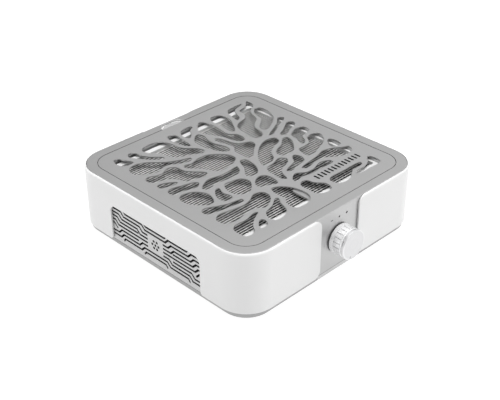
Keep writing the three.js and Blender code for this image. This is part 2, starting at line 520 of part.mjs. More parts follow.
function base() {
  const ring = (inset, z) => squareRing(PAN_HALF, PAN_RADIUS, inset, z);
  const edge = [];
  const edgeSteps = 4;
  for (let i = 0; i <= edgeSteps; i += 1) {
    const angle = Math.PI / 2 * i / edgeSteps;
    edge.push(ring(PAN_ROUNDING * (1 - Math.sin(angle)), PAN_BOTTOM + PAN_ROUNDING * (1 - Math.cos(angle))));
  }
  const neckBottom = SHELL_BOTTOM - GAP;
  const neck = prism(roundedSquare(PAN_HALF, PAN_HALF, PAN_NECK_RADIUS), PAN_BOTTOM + PAN_ROUNDING, PAN_TOP);
  const outside = join(loft([...edge, ring(0, neckBottom)], true), neck);
  const inner = PAN_HALF - PAN_WALL;
  const inside = prism(roundedSquare(inner, inner, PAN_RADIUS - PAN_WALL), PAN_FLOOR, PAN_TOP + EPS);
  const bosses = CORNERS.map(([x, y]) => rod(6, PAN_BOTTOM + 1, 7, x * POST_PLACE, y * POST_PLACE, 16));
  const bores = CORNERS.map(([x, y]) => join(
    rod(4, PAN_BOTTOM - EPS, 4.6, x * POST_PLACE, y * POST_PLACE, 16),
    rod(2.1, PAN_BOTTOM, 9, x * POST_PLACE, y * POST_PLACE, 16)));
  add('base_pan', cut(join(cut(outside, inside), ...bosses), ...bores), FINISH.greyPaint);
  CORNERS.forEach(([x, y], i) => {
    const foot = turned([[0, 0], [FOOT_RADIUS - 1, 0], [FOOT_RADIUS, 1], [FOOT_RADIUS, FOOT_HEIGHT],
      [0, FOOT_HEIGHT]], 20);
    add(`foot_${i + 1}`, foot, FINISH.rubber).position.set(x * FOOT_PLACE, y * FOOT_PLACE, 0);
    const screw = turned([[0, 2.7], [3.4, 2.7], [3.4, 4.3], [1.8, 4.3], [1.8, 16], [0, 16]], 16);
    const drive = join(block(-2, 2, -0.4, 0.4, 2, 3.5), block(-0.4, 0.4, -2, 2, 2, 3.5));
    add(`base_screw_${i + 1}`, cut(screw, drive), FINISH.steel)
      .position.set(x * POST_PLACE, y * POST_PLACE, 0);
  });
}

// ---------------------------------------------------------------- filter well and cartridge

const MAGNETS = [[-108.5, -60], [108.5, -60], [108.5, 60], [-108.5, 60]];

function filterWell() {
  const flangeLow = FLANGE_TOP - FLANGE_THICKNESS;
  const outer = WELL_HALF + WELL_WALL;
  const flange = prism(roundedSquare(FLANGE_HALF, FLANGE_HALF, 24, 8), flangeLow, FLANGE_TOP);
  const trough = prism(roundedSquare(outer, outer, 5, 4), WELL_FLOOR - WELL_WALL, FLANGE_TOP);
  const hollow = prism(roundedSquare(WELL_HALF, WELL_HALF, 3.4, 4), WELL_FLOOR, FLANGE_TOP + EPS);
  const outlet = prism(roundedSquare(88, 88, 8, 4), WELL_FLOOR - 5, WELL_FLOOR + EPS);
  const posts = CORNERS.map(([x, y]) =>
    rod(POST_RADIUS, 7.3, flangeLow + 1, x * POST_PLACE, y * POST_PLACE, 16));
  const pilots = CORNERS.map(([x, y]) => rod(2.1, 7, 18, x * POST_PLACE, y * POST_PLACE, 12));
  const pockets = MAGNETS.map(([x, y]) => rod(4.3, 72.2, FLANGE_TOP + EPS, x, y, 16));
  const cupSide = NOTCH_HALF + SHEET + GAP;
  const cupGap = block(-cupSide, cupSide, CUP_FRONT - GAP, 130, 60, 80);
  add('filter_well', cut(join(flange, trough, ...posts), hollow, outlet, ...pilots, ...pockets, cupGap),
    FINISH.greyPaint);
  MAGNETS.forEach(([x, y], i) => {
    add(`lid_magnet_${i + 1}`, rod(4, 72.5, FLANGE_TOP - 0.1, 0, 0, 16), FINISH.steel).position.set(x, y, 0);
  });
}

function cartridge() {
  const outer = roundedSquare(CARTRIDGE_HALF_X, CARTRIDGE_HALF_Y, 3, 3);
  const low = WELL_FLOOR + GAP;
  const frame = cut(prism(outer, low, CARTRIDGE_TOP),
    prism(roundedSquare(MEDIA_HALF_X, MEDIA_HALF_Y, 2, 3), low + 1.2, CARTRIDGE_TOP + EPS),
    prism(roundedSquare(MEDIA_HALF_X - 5, MEDIA_HALF_Y - 5, 2, 3), low - EPS, low + 2));
  add('filter_frame', frame, FINISH.whitePlastic);
  const inX = MEDIA_HALF_X - GAP;
  const inY = MEDIA_HALF_Y - GAP;
  const sheet = roundedSquare(inX, inY, 2, 3);
  add('filter_media', prism(sheet, low + 1.5, MEDIA_TOP), FINISH.filterPaper);
  add('filter_mesh', prism(sheet, MEDIA_TOP + 0.4, MEDIA_TOP + 1.2), FINISH.mesh);
  const tab = roundedBox(-7.5, 5, -97.5, -71.5, [2, 2, 0, 0], 3);
  add('filter_pull_tab', prism(tab, CARTRIDGE_TOP + GAP, FLANGE_TOP - 0.1), FINISH.greyPaint);
}

// ---------------------------------------------------------------- fan and motor

function fan() {
  const plate = prism(roundedSquare(98, 98, 10, 4), 48.3, 50.1, [circle(FAN_EYE, 40)]);
  const lip = turned([[FAN_EYE, 41.5], [FAN_EYE + 1.6, 41.5], [FAN_EYE + 1.6, 46], [FAN_EYE + 4, 49],
    [FAN_EYE, 49], [FAN_EYE, 41.5]], 40);
  add('fan_inlet_plate', join(plate, lip), FINISH.darkPlastic);

  const bladeCount = 11;
  const bladeLine = [];
  for (let i = 0; i <= 5; i += 1) {
    const radius = 48 + 34 * i / 5;
    const lag = -0.6 * i / 5;
    bladeLine.push([radius * Math.cos(lag), radius * Math.sin(lag)]);
  }
  const blades = [];
  for (let i = 0; i < bladeCount; i += 1) {
    const blade = prism(slotAlong(bladeLine, 1.6, 1), FAN_BOTTOM + 1, FAN_TOP - 1);
    blades.push(blade.rotateZ(2 * Math.PI * i / bladeCount));
  }
  const hub = tube(28.4, 31, FAN_BOTTOM, 24, 32);
  const disc = tube(28.4, FAN_RADIUS, FAN_BOTTOM, FAN_BOTTOM + 2, 48);
  const shroud = tube(66, FAN_RADIUS, FAN_TOP - 1.8, FAN_TOP, 48);
  add('impeller', join(disc, hub, shroud, ...blades), FINISH.darkPlastic);

  add('motor_rotor', turned([[2.3, 27], [26, 27], [26, 8], [28, 8], [28, 28], [27, 28.6], [2.3, 28.6],
    [2.3, 27]], 32), FINISH.steel);
  add('motor_shaft', rod(2, 7, 30, 0, 0, 16), FINISH.steel);
  const teeth = [];
  const toothCount = 9;
  for (let i = 0; i < toothCount; i += 1) {
    teeth.push(block(12, 24, -3.2, 3.2, 9, 22).rotateZ(2 * Math.PI * i / toothCount));
  }
  add('motor_stator', join(tube(8.3, 14, 8.5, 23, 24), ...teeth), FINISH.copper);
  add('motor_base', join(tube(6, 8, 4.7, 26, 24), tube(6, 34, 4.7, 6.7, 32)), FINISH.aluminium);
  add('motor_bearing_lower', tube(2.3, 5.7, 8, 12, 20), FINISH.steel);
  add('motor_bearing_upper', tube(2.3, 5.7, 21, 25, 20), FINISH.steel);
}

// ---------------------------------------------------------------- controls and power

function controls() {
  const front = wallFrame(FRONT);
  const centre = (mesh) => mesh.position.set(0, KNOB_HEIGHT, HOUSING_HALF);

  const backOfWall = -SHEET - GAP;
  const can = prism(roundedBox(-8.5, 8.5, -9, 8.5, 1, 2), backOfWall - 9, backOfWall);
  const bushing = rod(3.5, backOfWall - 2, 5.2, 0, 0, 20);
  const bore = rod(SHAFT_RADIUS + GAP, backOfWall - 7, 6, 0, 0, 20);
  centre(add('speed_potentiometer', cut(join(can, bushing), bore), FINISH.darkPlastic, front));
  centre(add('potentiometer_nut', prism(circle(6.3, 6), GAP, 2.8, [circle(3.8, 20)]), FINISH.steel, front));
  centre(add('control_shaft', rod(SHAFT_RADIUS, backOfWall - 6, 16.5, 0, 0, 20), FINISH.aluminium, front));

  const r = KNOB_RADIUS;
  const knobBody = turned([[0, 16.9], [SHAFT_RADIUS + GAP, 16.9], [SHAFT_RADIUS + GAP, 8], [9, 8], [9, 0.5],
    [r - 0.6, 0.5], [r - 0.1, 1], [r - 0.1, 5], [r - 0.35, 5.2], [r - 0.35, 14.6], [r - 0.1, 14.8],
    [r - 0.1, 15.4], [r - 0.7, 15.6], [r - 0.7, 16.2], [r, 16.4], [r, 19.4], [r - 0.5, KNOB_LENGTH],
    [0, KNOB_LENGTH]], 40);
  const pointer = block(-0.6, 0.6, 12.2, r + 1, KNOB_LENGTH - 0.5, KNOB_LENGTH + EPS).rotateZ(-KNOB_POINTER);
  const screwHole = rod(1.9, 0, r + 1, 0, 0, 12).rotateX(Math.PI / 2).translate(0, 0, 11);
  const notThrough = rod(SHAFT_RADIUS, 9, 13);
  const screwTool = cut(screwHole, notThrough);
  centre(add('speed_knob', cut(knobBody, pointer, screwTool), FINISH.aluminium, front));
  const grub = join(rod(1.6, 3.4, 9, 0, 0, 12));
  const hex = prism(circle(0.8, 6), 7, 10);
  const grubPiece = geometryOf(cut(grub, hex)).rotateX(Math.PI / 2).translate(0, 0, 11);
  centre(add('knob_grub_screw', grubPiece, FINISH.steel, front));

  const lens = add('indicator_lens', rod(0.9, -6, 0, 0, 0, 12), FINISH.lens, front);
  lens.position.set(0, MARK_HEIGHT, HOUSING_HALF);

  const parts = [
    block(-45, 45, -122, -90, 9.6, 11.2),
    block(-40, -24, -118, -96, 11, 26),
    block(-18, -2, -116, -100, 11, 22),
    block(14, 38, -106, -94, 11, 21),
    rod(5, 11, 30, 8, -112, 16),
    rod(5, 11, 30, 22, -114, 16),
    block(-44, -36, -121, -113, PAN_FLOOR + GAP, 10),
    block(36, 44, -121, -113, PAN_FLOOR + GAP, 10),
    block(-4, 4, -97, -91, PAN_FLOOR + GAP, 10),
  ];
  add('control_board', join(...parts), FINISH.board);
}

function powerInlet() {
  const rear = wallFrame(REAR);
  const face = BODY_HALF - HOUSING_HALF - 0.1;
  const flange = prism(roundedBox(-23, 23, -10, 10, 3, 4), GAP, face);
  const shell = prism(roundedBox(-13, 13, -7.5, 7.5, 1.7, 3), -16, face);
  const recess = join(
    prism(circle(4.7, 20, -4.6), -13, face + EPS),
    prism(circle(4.7, 20, 4.6), -13, face + EPS),
    block(-4.6, 4.6, -4.2, 4.2, -13, face + EPS));
  const pins = [-4.3, 4.3].map((x) => rod(1.15, -14, -4, x, 0, 10));
  const holes = [-18, 18].map((x) => join(rod(1.7, -1, face + 1, x, 0, 12), rod(3, 0.7, face + 1, x, 0, 16)));
  const inlet = join(cut(join(flange, shell), recess, ...holes), ...pins);
  add('power_inlet', inlet, FINISH.darkPlastic, rear).position.set(0, SOCKET_HEIGHT, HOUSING_HALF);
  [-18, 18].forEach((x, i) => {
    const screw = turned([[0, -9], [1.4, -9], [1.4, 1], [2.7, 1.1], [2.7, face - 0.1], [0, face - 0.1]], 14);
    add(`inlet_screw_${i + 1}`, screw, FINISH.steel, rear).position.set(x, SOCKET_HEIGHT, HOUSING_HALF);
  });
}

// ---------------------------------------------------------------- build

housing();
shells();
fingerCup();
vents();
base();
filterWell();
cartridge();
lid();
fan();
controls();
powerInlet();

export default collector;
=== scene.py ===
import json
import math

import bmesh
import bpy
from mathutils import Matrix, Vector


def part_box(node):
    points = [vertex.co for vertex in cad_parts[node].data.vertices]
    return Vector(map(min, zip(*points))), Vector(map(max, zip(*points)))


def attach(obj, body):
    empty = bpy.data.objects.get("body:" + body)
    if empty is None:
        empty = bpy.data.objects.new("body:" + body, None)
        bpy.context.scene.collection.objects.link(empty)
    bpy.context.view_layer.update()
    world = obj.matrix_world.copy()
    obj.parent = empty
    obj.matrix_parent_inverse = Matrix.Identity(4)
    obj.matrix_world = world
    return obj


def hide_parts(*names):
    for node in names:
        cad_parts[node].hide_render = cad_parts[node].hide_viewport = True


# ---------------------------------------------------------------- frame

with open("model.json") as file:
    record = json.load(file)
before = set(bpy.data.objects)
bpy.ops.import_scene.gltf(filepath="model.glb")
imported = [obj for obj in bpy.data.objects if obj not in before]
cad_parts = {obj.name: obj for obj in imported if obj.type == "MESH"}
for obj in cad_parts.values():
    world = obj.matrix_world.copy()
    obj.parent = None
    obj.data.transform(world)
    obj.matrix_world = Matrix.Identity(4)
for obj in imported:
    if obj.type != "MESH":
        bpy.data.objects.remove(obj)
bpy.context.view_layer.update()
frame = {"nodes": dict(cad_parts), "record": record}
nodes = frame["nodes"]
scene = bpy.context.scene

MM = 0.001
LOW, HIGH = (Vector(c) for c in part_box("housing"))
CENTRE_Y = (LOW.y + HIGH.y) / 2  # the square body's middle; X is already centred
DECK_TOP = HIGH.z
PANEL_Y = LOW.y  # face of the front wall
KNOB_AXIS = Vector((0, CENTRE_Y, 41.5 * MM))  # a point on the knob's axis, which runs along Y
SMOOTH_ANGLE = 28  # edges sharper than this many degrees stay crisp

# ---------------------------------------------------------------- camera

UNIT = 0.116331  # half the width of the lid's seam
azimuth, elevation, roll = -0.781619966, 0.558575561, -0.0044182163  # radians
far, aside, below = 8.63702819, 0.0291982616, 0.348786648  # in units of UNIT
right = Vector((math.cos(azimuth), math.sin(azimuth), 0))
back = Vector(
    (
        math.sin(azimuth) * math.cos(elevation),
        -math.cos(azimuth) * math.cos(elevation),
        math.sin(elevation),
    )
)
up = back.cross(right)
cam_x = math.cos(roll) * right + math.sin(roll) * up
cam_y = -math.sin(roll) * right + math.cos(roll) * up
place = (back * far + cam_x * aside - cam_y * below) * UNIT
place += Vector((0, CENTRE_Y, DECK_TOP))
cam_data = bpy.data.cameras.new("camera")
cam_data.lens = 69.1431
cam_data.sensor_width = 36
cam_data.clip_start = 0.05
cam_data.clip_end = 50
camera = bpy.data.objects.new("camera", cam_data)
camera.matrix_world = Matrix.Translation(place) @ Matrix((cam_x, cam_y, back)).transposed().to_4x4()
scene.collection.objects.link(camera)
scene.camera = camera

# ---------------------------------------------------------------- materials


class Build:
    """A small helper that adds and wires shader nodes."""

    def __init__(self, name):
        self.material = bpy.data.materials.new(name)
        self.material.use_nodes = True
        self.tree = self.material.node_tree
        self.shader = self.tree.nodes["Principled BSDF"]
        self.coords = self.tree.nodes.new("ShaderNodeTexCoord").outputs["Object"]

    def node(self, kind, inputs=(), **settings):
        made = self.tree.nodes.new(kind)
        for key, value in settings.items():
            setattr(made, key, value)
        for key, value in dict(inputs).items():
            if isinstance(value, bpy.types.NodeSocket):
                self.tree.links.new(value, made.inputs[key])
            else:
                made.inputs[key].default_value = value
        return made

    def noise(self, scale, detail=2.0, roughness=0.5, vector=None):
        made = self.node(
            "ShaderNodeTexNoise",
            {"Vector": vector or self.coords, "Scale": scale, "Detail": detail, "Roughness": roughness},
        )
        return made.outputs["Fac"]

    def stretched(self, x, y, z):
        return self.node(
            "ShaderNodeMapping", {"Vector": self.coords, "Scale": (x, y, z)}
        ).outputs["Vector"]

    def ramp(self, fac, low, high, start=0.35, end=0.65):
        made = self.node("ShaderNodeValToRGB", {"Fac": fac})
        made.color_ramp.elements[0].position = start
        made.color_ramp.elements[1].position = end
        made.color_ramp.elements[0].color = (*low, 1)
        made.color_ramp.elements[1].color = (*high, 1)
        return made.outputs["Color"]

    def span(self, fac, low, high):
        made = self.node("ShaderNodeMapRange", {"Value": fac, "To Min": low, "To Max": high})
        return made.outputs["Result"]

    def distance(self, value, middle):
        """How far a value is from middle, whichever side it is on."""
        gap = self.node("ShaderNodeMath", {0: value, 1: middle}, operation="SUBTRACT").outputs[0]
        return self.node("ShaderNodeMath", {0: gap}, operation="ABSOLUTE").outputs[0]

    def step(self, value, edge, width, below, above):
        """Goes from below to above over a short width that starts at edge."""
        limits = {"From Min": edge, "From Max": edge + width, "To Min": below, "To Max": above}
        return self.node("ShaderNodeMapRange", {"Value": value, **limits}).outputs["Result"]

    def bump(self, height, distance, normal=None):
        inputs = {"Height": height, "Distance": distance, "Strength": 1.0}
        if normal is not None:
            inputs["Normal"] = normal
        return self.node("ShaderNodeBump", inputs).outputs["Normal"]

    def set(self, **values):
        for key, value in values.items():
            socket = self.shader.inputs[key.replace("_", " ")]
            if isinstance(value, bpy.types.NodeSocket):
                self.tree.links.new(value, socket)
            else:
                socket.default_value = value
        return self


def grey(value, tint=(1, 1, 1)):
    return tuple(value * t for t in tint)


def painted_shade_and_light(b, colour, band, painted_light_half):
    """Painted shade and light: darkens a colour outside band, a pair of heights, and lightens it within the
    given half-width of the middle.
    """
    # painted shade outside the band, painted light near the middle
    in_shade, painted_light_gain = 0.3, 1.55
    parts = b.node("ShaderNodeSeparateXYZ", {0: b.coords})
    away = b.distance(parts.outputs["Z"], (band[0] + band[1]) / 2)
    shade = b.step(away, (band[1] - band[0]) / 2, 0.3 * MM, 1.0, in_shade)
    across = b.distance(parts.outputs["X"], 0.0)
    painted_light = b.step(across, painted_light_half, 0.5 * MM, painted_light_gain, 1.0)
    for factor in (shade, painted_light):
        colour = b.node("ShaderNodeVectorMath", {0: colour, 3: factor}, operation="SCALE").outputs[0]
    return colour


def painted(name, value, rough=0.42, metal=0.0, band=None, painted_light_half=0.0):
    """Powder-fine paint: a slight cloudiness, a grain that breaks the gloss up, and a soft orange peel.

    With a band it also gets painted shade outside the band and painted light near the middle, from the
    function above."""
    grain = 0.02 * MM
    b = Build(name)
    cloud = b.noise(14, 3)
    fine = b.noise(2600, 2)
    peel = b.noise(420, 1)
    colour = b.ramp(cloud, grey(value * 0.98), grey(value * 1.02))
    if band:
        colour = painted_shade_and_light(b, colour, band, painted_light_half)
    normal = b.bump(peel, grain * 0.6, normal=b.bump(fine, grain))
    b.set(Base_Color=colour, Roughness=b.span(fine, rough - 0.05, rough + 0.07))
    b.set(Normal=normal, Metallic=metal)
    return b.material


def moulded(name, value, tint=(1, 1, 1), rough=0.4, coat=0.0, grain=0.012 * MM):
    """Moulded plastic: an even colour, faint flow clouds, and a very fine spark-eroded texture."""
    b = Build(name)
    cloud = b.noise(9, 2)
    fine = b.noise(1900, 2)
    colour = b.ramp(cloud, grey(value * 0.985, tint), grey(value * 1.01, tint))
    b.set(Base_Color=colour, Roughness=b.span(fine, rough - 0.03, rough + 0.04))
    b.set(Normal=b.bump(fine, grain), Coat_Weight=coat, Coat_Roughness=0.25)
    return b.material


def turned_metal(name, value, rough, metal):
    """Turned aluminium: hair-fine rings about the knob's axis."""
    tint = (1, 1, 1.01)
    b = Build(name)
    local = b.node("ShaderNodeVectorMath", {0: b.coords, 1: KNOB_AXIS}, operation="SUBTRACT").outputs[0]
    parts = b.node("ShaderNodeSeparateXYZ", {0: local})
    flat = b.node("ShaderNodeCombineXYZ", {"X": parts.outputs["X"], "Y": parts.outputs["Z"]}).outputs[0]
    radius = b.node("ShaderNodeVectorMath", {0: flat}, operation="LENGTH").outputs["Value"]
    rings = b.node("ShaderNodeCombineXYZ", {"X": radius, "Y": parts.outputs["Y"]}).outputs[0]
    lines = b.noise(5200, 3, vector=rings)
    colour = b.ramp(lines, grey(value * 0.94, tint), grey(value, tint))
    b.set(Base_Color=colour, Roughness=b.span(lines, rough - 0.05, rough + 0.08), Metallic=metal)
    b.set(Normal=b.bump(lines, 0.006 * MM))
    return b.material


def plain_metal(name, value, rough=0.35, tint=(1, 1, 1)):
    """Drawn or rolled metal with faint upright lines."""
    b = Build(name)
    lines = b.noise(900, 3, vector=b.stretched(1, 1, 0.08))
    cloud = b.noise(60, 3)
    colour = b.ramp(cloud, grey(value * 0.9, tint), grey(value, tint))
    b.set(Base_Color=colour, Roughness=b.span(lines, rough - 0.06, rough + 0.1), Metallic=1.0)
    b.set(Normal=b.bump(lines, 0.005 * MM))
    return b.material


def fibrous(name, value, folds):
    """Filter fleece: short matted fibres and a mottled tone, with painted shade low down between folds.

    folds is the pair of heights that the pleats run between."""
    tint = (1, 1, 0.985)
    # painted shade: nearly black below the first share of a pleat's height, none above the second
    dark_up_to, full_from = 0.64, 0.86  # shares of a pleat's height
    b = Build(name)
    fibres = b.noise(1500, 4, 0.7, vector=b.stretched(1, 2.5, 1))
    mottle = b.noise(160, 3)
    tone = b.node("ShaderNodeMath", {0: fibres, 1: mottle}, operation="MULTIPLY").outputs[0]
    colour = b.ramp(tone, grey(value * 0.8, tint), grey(value * 1.1, tint), 0.15, 0.42)
    height = b.node("ShaderNodeSeparateXYZ", {0: b.coords}).outputs["Z"]
    rise = b.step(height, folds[0], folds[1] - folds[0], 0.0, 1.0)
    # painted shade in the valleys between pleats
    painted_crease_shade = b.ramp(rise, grey(0.01), grey(1), dark_up_to, full_from)
    mixed = b.node("ShaderNodeMix", {6: colour, 7: painted_crease_shade, 0: 1.0}, data_type="RGBA", blend_type="MULTIPLY")
    b.set(Base_Color=mixed.outputs[2], Roughness=0.95, Normal=b.bump(fibres, 0.18 * MM))
    b.set(Specular_IOR_Level=0.05)
    return b.material


PLEAT_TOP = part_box("filter_media")[1][2]
PLEAT_DEPTH = 2.6 * MM

MATERIALS = {
    "grey_paint": painted("grey_paint", 0.5, rough=0.38, metal=0.82),
    "white_shell": moulded("white_shell", 0.69, rough=0.34, coat=0.1),
    "white_plastic": moulded("white_plastic", 0.56, rough=0.45),
    "dark_plastic": moulded("dark_plastic", 0.03, rough=0.5),
    "rubber": moulded("rubber", 0.035, rough=0.8, grain=0.04 * MM),
    "filter_paper": fibrous("filter_paper", 0.95, folds=(PLEAT_TOP - PLEAT_DEPTH, PLEAT_TOP)),
    "mesh": plain_metal("mesh", 0.5, 0.4),
    "aluminium": turned_metal("aluminium", 0.96, 0.24, metal=0.56),
    "steel": plain_metal("steel", 0.55),
    "board": moulded("board", 0.1, tint=(0.2, 1, 0.45), rough=0.35),
    "copper": plain_metal("copper", 0.6, 0.35, tint=(1, 0.45, 0.2)),
    "lens": moulded("lens", 0.03, rough=0.12, coat=0.5),
}

SHADOW = painted("shadow_paint", 0.02, rough=0.6)
# base pan paint with painted shade and light: darker above 7.1 mm, as in the shade at the seam under the body
# and shells, and below 3 mm, as in the shade near the floor, and lighter within 28 mm of the middle, where
# the gaps in the white shells leave it unshaded
BASE_PAINTED_SHADE_AND_LIGHT = painted("base_painted_shade_and_light", 0.37, rough=0.45, metal=0.8, band=(3 * MM, 7.1 * MM), painted_light_half=28 * MM)
KNOB_FACE = turned_metal("knob_face", 0.7, 0.5, metal=0.6)
KNOB_RIM = turned_metal("knob_rim", 0.78, 0.3, metal=0.8)
KNOB_MARK = painted("knob_mark", 0.3, rough=0.5)
# darker copy of the knob's metal for its grooves: painted shade
KNOB_GROOVE_SHADE = turned_metal("knob_groove_shade", 0.42, 0.5, metal=0.6)

# ---------------------------------------------------------------- CAD meshes


def even_normals(obj):
    """Keeps large flat faces flat where they meet small rounded ones."""
    even = obj.modifiers.new("even", "WEIGHTED_NORMAL")
    even.keep_sharp = True
    even.weight = 100


SLOT_OF = {s["node"]: s["material_slot"] for s in frame["record"]["subparts"]}
for name, obj in nodes.items():
    obj.data.materials.clear()
    obj.data.materials.append(MATERIALS[SLOT_OF[name]])
    obj.data.shade_smooth()
    weld = obj.modifiers.new("weld", "WELD")
    weld.merge_threshold = 1e-6
    edges = obj.modifiers.new("edges", "EDGE_SPLIT")
    edges.split_angle = math.radians(SMOOTH_ANGLE)
    edges.use_edge_sharp = False
    even_normals(obj)

# ---------------------------------------------------------------- mesh helpers


def piece(name, verts, faces, body, slot, material=None, smooth=SMOOTH_ANGLE):
    """A new object from vertices and faces, riding on a body."""
    mesh = bpy.data.meshes.new(name)
    mesh.from_pydata([tuple(v) for v in verts], [], faces)
    mesh.validate()
    made = bpy.data.objects.new(name, mesh)
    scene.collection.objects.link(made)
    return finished(made, body, slot, material, smooth)


def finished(made, body, slot, material=None, smooth=SMOOTH_ANGLE):
    """Faces outward, smooth up to the given angle in degrees, on its body, with the given material or else
    its slot's.
    """
    bm = bmesh.new()
    bm.from_mesh(made.data)
    bmesh.ops.recalc_face_normals(bm, faces=bm.faces)
    bm.to_mesh(made.data)
    bm.free()
    made.data.materials.clear()
    made.data.materials.append(material or MATERIALS[slot])
    made.data.shade_smooth()
    made.data.set_sharp_from_angle(angle=math.radians(smooth))
    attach(made, body)
    return made


def grid(rings, closed_rings=False):
    """Vertices and faces of a skin through equal rings of points, with end caps unless the rings close."""
    count = len(rings[0])
    verts = [p for ring in rings for p in ring]
    faces = []
    spans = len(rings) if closed_rings else len(rings) - 1
    for r in range(spans):
        n = (r + 1) % len(rings)
        for i in range(count):
            j = (i + 1) % count
            faces.append((r * count + i, r * count + j, n * count + j, n * count + i))
    if not closed_rings:
        faces.append(tuple(range(count))[::-1])
        faces.append(tuple((len(rings) - 1) * count + i for i in range(count)))
    return verts, faces


def darken(mesh, chosen):
    """Gives the faces that chosen(centre, normal) picks a dark paint, as in a narrow unlit gap."""
    mesh.materials.append(SHADOW)
    index = len(mesh.materials) - 1
    for face in mesh.polygons:
        if chosen(Vector(face.center) - Vector((0, CENTRE_Y, 0)), face.normal):
            face.material_index = index


def in_seam(p, n):
    """The wall round the lid, apart from the finger notch behind it, and the ledge under the lid's edge."""
    notch_front = 117 * MM
    faces_in = n.x * p.x + n.y * p.y < 0
    walls = abs(n.z) < 0.3 and p.z > DECK_TOP - 1.7 * MM and p.y < notch_front and faces_in
    ledge = n.z > 0.9 and DECK_TOP - 2.2 * MM < p.z < DECK_TOP - 1 * MM
    return walls or ledge


# painted shade in the gap round the lid: its walls and the ledge under its edge
darken(nodes["housing"].data, in_seam)
pan = nodes["base_pan"].data
# the pan's upright faces get the painted shade and light
pan.materials.append(BASE_PAINTED_SHADE_AND_LIGHT)
for face in pan.polygons:
    if abs(face.normal.z) < 0.9:  # level faces keep the plain grey
        face.material_index = 1

# ---------------------------------------------------------------- lid


def outline_loops(obj, height):
    """Boundary loops, as lists of (x, y), of the flat faces of obj at that height."""
    bm = bmesh.new()
    bm.from_mesh(obj.data)
    bmesh.ops.remove_doubles(bm, verts=bm.verts, dist=1e-6)
    top = {f for f in bm.faces if f.normal.z > 0.9 and abs(f.calc_center_median().z - height) < 1e-5}
    edges = {e for e in bm.edges if sum(f in top for f in e.link_faces) == 1}
    loops = []
    while edges:
        edge = edges.pop()
        start, here = edge.verts
        loop = [start, here]
        while here is not start:
            edge = next(e for e in here.link_edges if e in edges)
            edges.remove(edge)
            here = edge.other_vert(here)
            loop.append(here)
        loops.append([Vector((v.co.x, v.co.y)) for v in loop[:-1]])
    bm.free()
    return loops


def smoother(points, steps=3):
    """Closed centripetal curve through the points, sampled more finely."""
    made = []
    count = len(points)
    for i in range(count):
        p0, p1, p2, p3 = (points[(i + k) % count] for k in (-1, 0, 1, 2))
        t1 = (p1 - p0).length ** 0.5
        t2 = t1 + (p2 - p1).length ** 0.5
        t3 = t2 + (p3 - p2).length ** 0.5
        for s in range(steps):
            t = t1 + (t2 - t1) * s / steps
            a1 = p0 * (t1 - t) / t1 + p1 * t / t1
            a2 = p1 * (t2 - t) / (t2 - t1) + p2 * (t - t1) / (t2 - t1)
            a3 = p2 * (t3 - t) / (t3 - t2) + p3 * (t - t2) / (t3 - t2)
            b1 = a1 * (t2 - t) / t2 + a2 * t / t2
            b2 = a2 * (t3 - t) / (t3 - t1) + a3 * (t - t1) / (t3 - t1)
            made.append(b1 * (t2 - t) / (t2 - t1) + b2 * (t - t1) / (t2 - t1))
    return made


def make_lid():
    """The lid from the outlines of its CAD mesh, with the openings rounder and every edge bevelled."""
    low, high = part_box("grille_lid")
    bevel = 0.14 * MM
    set_back = 0.16 * MM  # how far the outlines are offset beyond the bevel
    thickness = high[2] - low[2]
    curve = bpy.data.curves.new("lid_plate", "CURVE")
    curve.dimensions = "2D"
    curve.fill_mode = "BOTH"
    curve.extrude = thickness / 2 - bevel
    curve.bevel_depth = bevel
    curve.bevel_resolution = 1
    curve.offset = -bevel - set_back
    for loop in outline_loops(nodes["grille_lid"], high[2]):
        xs = [p.x for p in loop]
        wide = max(xs) - min(xs)
        straight = wide < 3 * MM or wide > 200 * MM  # narrow openings, and the outer edge
        points = loop if straight else smoother(loop)
        spline = curve.splines.new("POLY")
        spline.points.add(len(points) - 1)
        for point, p in zip(spline.points, points):
            point.co = (p.x, p.y, 0, 1)
        spline.use_cyclic_u = True
    holder = bpy.data.objects.new("lid_curve", curve)
    scene.collection.objects.link(holder)
    bpy.context.view_layer.update()
    graph = bpy.context.evaluated_depsgraph_get()
    mesh = bpy.data.meshes.new_from_object(holder.evaluated_get(graph))
    bpy.data.objects.remove(holder)
    mesh.transform(Matrix.Translation((0, 0, (low[2] + high[2]) / 2)))
    made = bpy.data.objects.new("lid_plate", mesh)
    scene.collection.objects.link(made)
    bm = bmesh.new()
    bm.from_mesh(mesh)
    bmesh.ops.remove_doubles(bm, verts=bm.verts, dist=2e-6)
    bm.to_mesh(mesh)
    bm.free()
    finished(made, "lid", "grey_paint", smooth=40)
    even_normals(made)
    corner_radius = 21.1 * MM
    corner = max(v.co.x for v in mesh.vertices) - corner_radius
    row_x = (25 * MM, 93 * MM)
    row_y = (-79 * MM, -69 * MM)

    def dark(p, n):
        """The walls of the row of slots, and the lid's outer edge, which get painted shade."""
        in_row = row_x[0] < p.x < row_x[1] and row_y[0] < p.y < row_y[1]
        reach = Vector((max(abs(p.x) - corner, 0), max(abs(p.y) - corner, 0))).length
        outermost = reach > corner_radius - 0.4 * MM
        return (in_row and abs(n.z) < 0.95) or (outermost and abs(n.z) < 0.3)

    # painted shade in the slots and in the gap round the lid
    darken(mesh, dark)
    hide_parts("grille_lid")


# ---------------------------------------------------------------- filter cartridge


